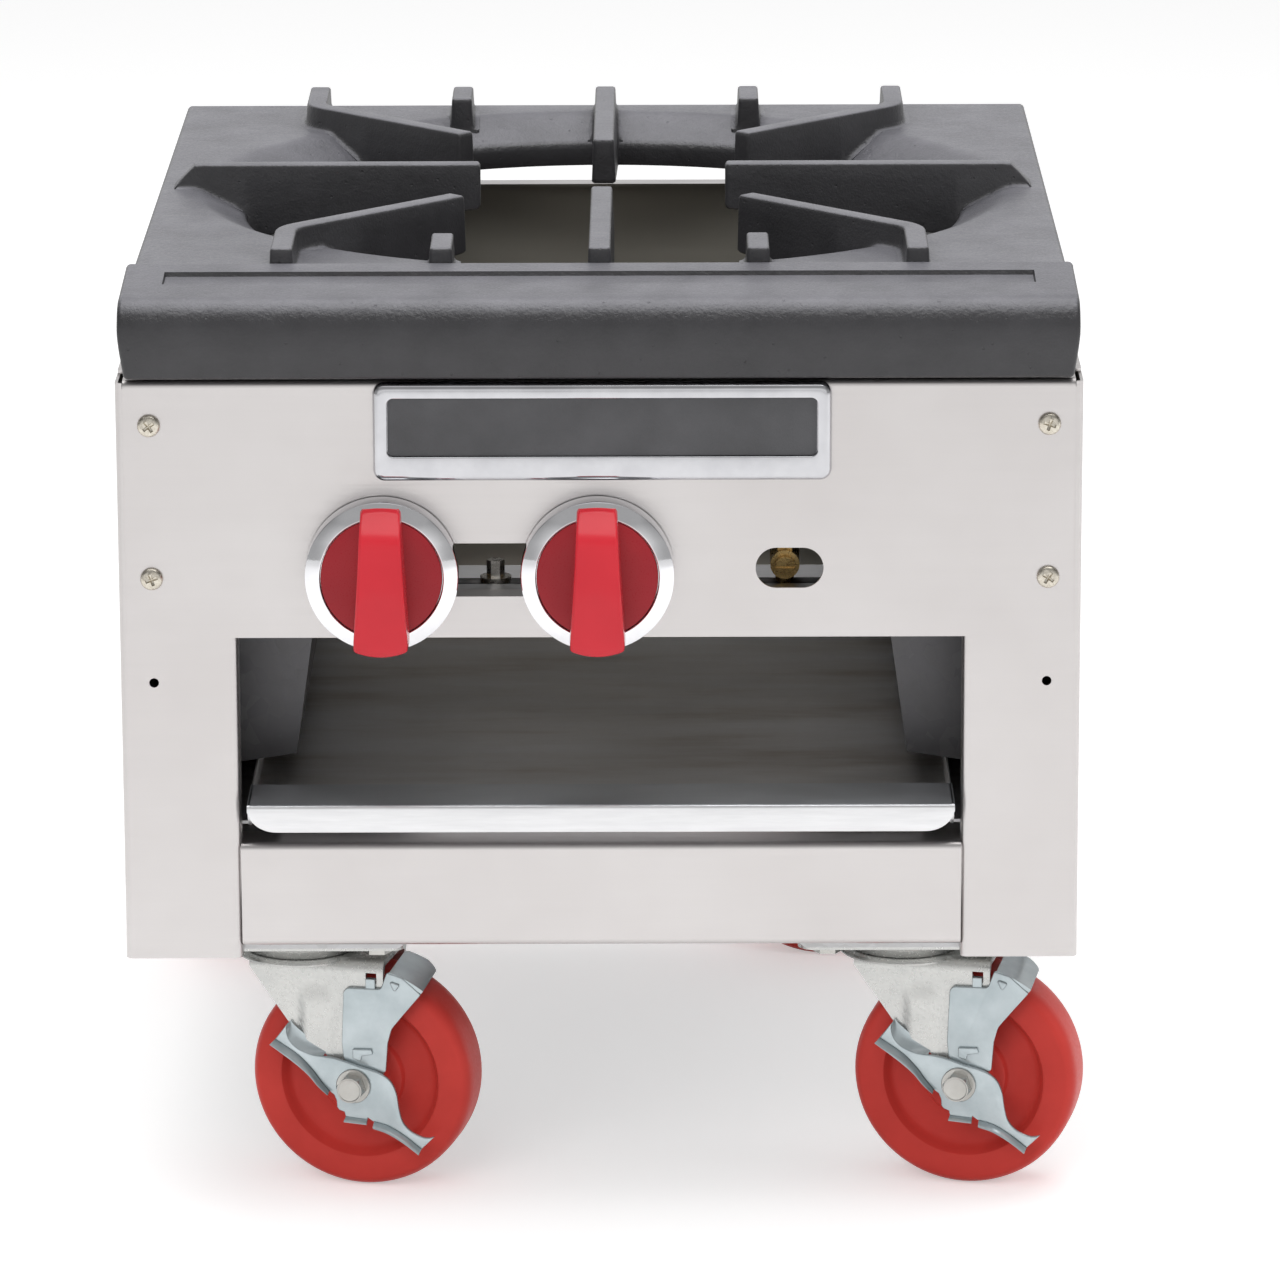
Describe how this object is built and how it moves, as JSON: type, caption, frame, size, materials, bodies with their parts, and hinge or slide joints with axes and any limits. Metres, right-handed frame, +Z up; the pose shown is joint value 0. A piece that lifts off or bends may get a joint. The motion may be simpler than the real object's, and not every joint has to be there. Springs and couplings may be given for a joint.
{
  "type": "stock pot range",
  "caption": "Low stock pot range with a cast-iron finger top, ring burner, turning knobs, pull-out drip tray and swivel casters.",
  "frame": {"origin": "on the floor under the middle of the range", "axes": "+X to the right seen from the front, -Y the front with the knobs, +Z up"},
  "size_m": [0.4718, 0.578, 0.4645],
  "materials": {
    "cast_top": "rough sand-cast, matt",
    "stainless": "fine brushed",
    "galvanised": "dull galvanised",
    "screw": "plain",
    "badge_metal": "bright",
    "badge_black": "smooth",
    "tray_steel": "dull",
    "burner_iron": "bare, slightly brown",
    "burner_bar": "plain",
    "gas_pipe": "matt black",
    "brass": "plain",
    "bright_tube": "smooth",
    "stem": "plain",
    "knob_chrome": "polished",
    "knob_red": "glossy",
    "zinc": "bright zinc",
    "wheel_red": "satin"
  },
  "bodies": {
    "range_body": {"front_panel": "stainless", "panel_screws": "screw", "badge_frame": "badge_metal", "badge_field": "badge_black", "left_side": "stainless", "right_side": "stainless", "back_panel": "stainless", "front_crossbar": "stainless", "rear_crossbar": "stainless", "left_base_rail": "galvanised", "right_base_rail": "galvanised", "left_tray_runner": "galvanised", "right_tray_runner": "galvanised", "left_heat_shield": "galvanised", "right_heat_shield": "galvanised", "outer_burner": "burner_iron", "inner_burner": "burner_iron", "burner_bars": "burner_bar", "air_shutters": "galvanised", "manifold_pipe": "gas_pipe", "manifold_cap": "gas_pipe", "manifold_plug": "stem", "manifold_bracket": "galvanised", "supply_elbow": "gas_pipe", "supply_pipe": "gas_pipe", "left_gas_valve": "brass", "centre_gas_valve": "brass", "orifice_hoods": "brass", "pilot_valve": "brass", "pilot_tube": "bright_tube", "pilot_burner": "stem", "caster_bolts": "zinc", "front_left_caster_plate": "zinc", "front_right_caster_plate": "zinc", "rear_left_caster_plate": "zinc", "rear_right_caster_plate": "zinc"},
    "cast_top": {"grate_top": "cast_top"},
    "tray": {"drip_tray": "tray_steel"},
    "left_knob": {"left_knob_skirt": "knob_chrome", "left_knob_handle": "knob_red", "left_valve_stem": "stem"},
    "centre_knob": {"centre_knob_skirt": "knob_chrome", "centre_knob_handle": "knob_red", "centre_valve_stem": "stem"},
    "front_left_swivel": {"front_left_fork": "zinc", "front_left_axle": "zinc"},
    "front_left_roller": {"front_left_wheel": "wheel_red"},
    "front_left_lever": {"front_left_brake_lever": "zinc"},
    "front_left_shoe": {"front_left_brake_shoe": "zinc"},
    "front_right_swivel": {"front_right_fork": "zinc", "front_right_axle": "zinc"},
    "front_right_roller": {"front_right_wheel": "wheel_red"},
    "front_right_lever": {"front_right_brake_lever": "zinc"},
    "front_right_shoe": {"front_right_brake_shoe": "zinc"},
    "rear_left_swivel": {"rear_left_fork": "zinc", "rear_left_axle": "zinc"},
    "rear_left_roller": {"rear_left_wheel": "wheel_red"},
    "rear_right_swivel": {"rear_right_fork": "zinc", "rear_right_axle": "zinc"},
    "rear_right_roller": {"rear_right_wheel": "wheel_red"}
  },
  "joints": [
    {"name": "top_lift", "type": "slide", "parent": "range_body", "child": "cast_top", "axis": [0, 0, 1], "range_m": [0, 0.15]},
    {"name": "tray_slide", "type": "slide", "parent": "range_body", "child": "tray", "axis": [0, -1, 0], "range_m": [0, 0.36]},
    {"name": "left_knob_turn", "type": "hinge", "parent": "range_body", "child": "left_knob", "pos_m": [-0.103, -0.2535, 0.3225], "axis": [0, -1, 0], "range_deg": [0, 90]},
    {"name": "centre_knob_turn", "type": "hinge", "parent": "range_body", "child": "centre_knob", "pos_m": [-0.001, -0.2535, 0.3225], "axis": [0, -1, 0], "range_deg": [0, 90]},
    {"name": "front_left_swivel_turn", "type": "hinge", "parent": "range_body", "child": "front_left_swivel", "pos_m": [-0.1475, -0.185, 0.116], "axis": [0, 0, 1], "continuous": true},
    {"name": "front_left_wheel_roll", "type": "hinge", "parent": "front_left_swivel", "child": "front_left_roller", "pos_m": [-0.11535, -0.19242, 0.05525], "axis": [0.225, 0.9744, 0], "continuous": true},
    {"name": "front_left_brake_tip", "type": "hinge", "parent": "front_left_swivel", "child": "front_left_lever", "pos_m": [-0.12093, -0.21659, 0.05525], "axis": [-0.225, -0.9744, 0], "range_deg": [0, 14]},
    {"name": "front_left_shoe_press", "type": "slide", "parent": "front_left_swivel", "child": "front_left_shoe", "axis": [0, 0, -1], "range_m": [0, 0.002]},
    {"name": "front_right_swivel_turn", "type": "hinge", "parent": "range_body", "child": "front_right_swivel", "pos_m": [0.1475, -0.185, 0.116], "axis": [0, 0, 1], "continuous": true},
    {"name": "front_right_wheel_roll", "type": "hinge", "parent": "front_right_swivel", "child": "front_right_roller", "pos_m": [0.17965, -0.19242, 0.05525], "axis": [0.225, 0.9744, 0], "continuous": true},
    {"name": "front_right_brake_tip", "type": "hinge", "parent": "front_right_swivel", "child": "front_right_lever", "pos_m": [0.17408, -0.21659, 0.05525], "axis": [-0.225, -0.9744, 0], "range_deg": [0, 14]},
    {"name": "front_right_shoe_press", "type": "slide", "parent": "front_right_swivel", "child": "front_right_shoe", "axis": [0, 0, -1], "range_m": [0, 0.002]},
    {"name": "rear_left_swivel_turn", "type": "hinge", "parent": "range_body", "child": "rear_left_swivel", "pos_m": [-0.1475, 0.185, 0.116], "axis": [0, 0, 1], "continuous": true},
    {"name": "rear_left_wheel_roll", "type": "hinge", "parent": "rear_left_swivel", "child": "rear_left_roller", "pos_m": [-0.17965, 0.19242, 0.05525], "axis": [-0.225, -0.9744, 0], "continuous": true},
    {"name": "rear_right_swivel_turn", "type": "hinge", "parent": "range_body", "child": "rear_right_swivel", "pos_m": [0.1475, 0.185, 0.116], "axis": [0, 0, 1], "continuous": true},
    {"name": "rear_right_wheel_roll", "type": "hinge", "parent": "rear_right_swivel", "child": "rear_right_roller", "pos_m": [0.11535, 0.19242, 0.05525], "axis": [-0.225, -0.9744, 0], "continuous": true}
  ],
  "couplings": [
    {"joint": "front_left_shoe_press", "follows": "front_left_brake_tip", "m_per_rad": 0.00818},
    {"joint": "front_right_shoe_press", "follows": "front_right_brake_tip", "m_per_rad": 0.00818}
  ]
}
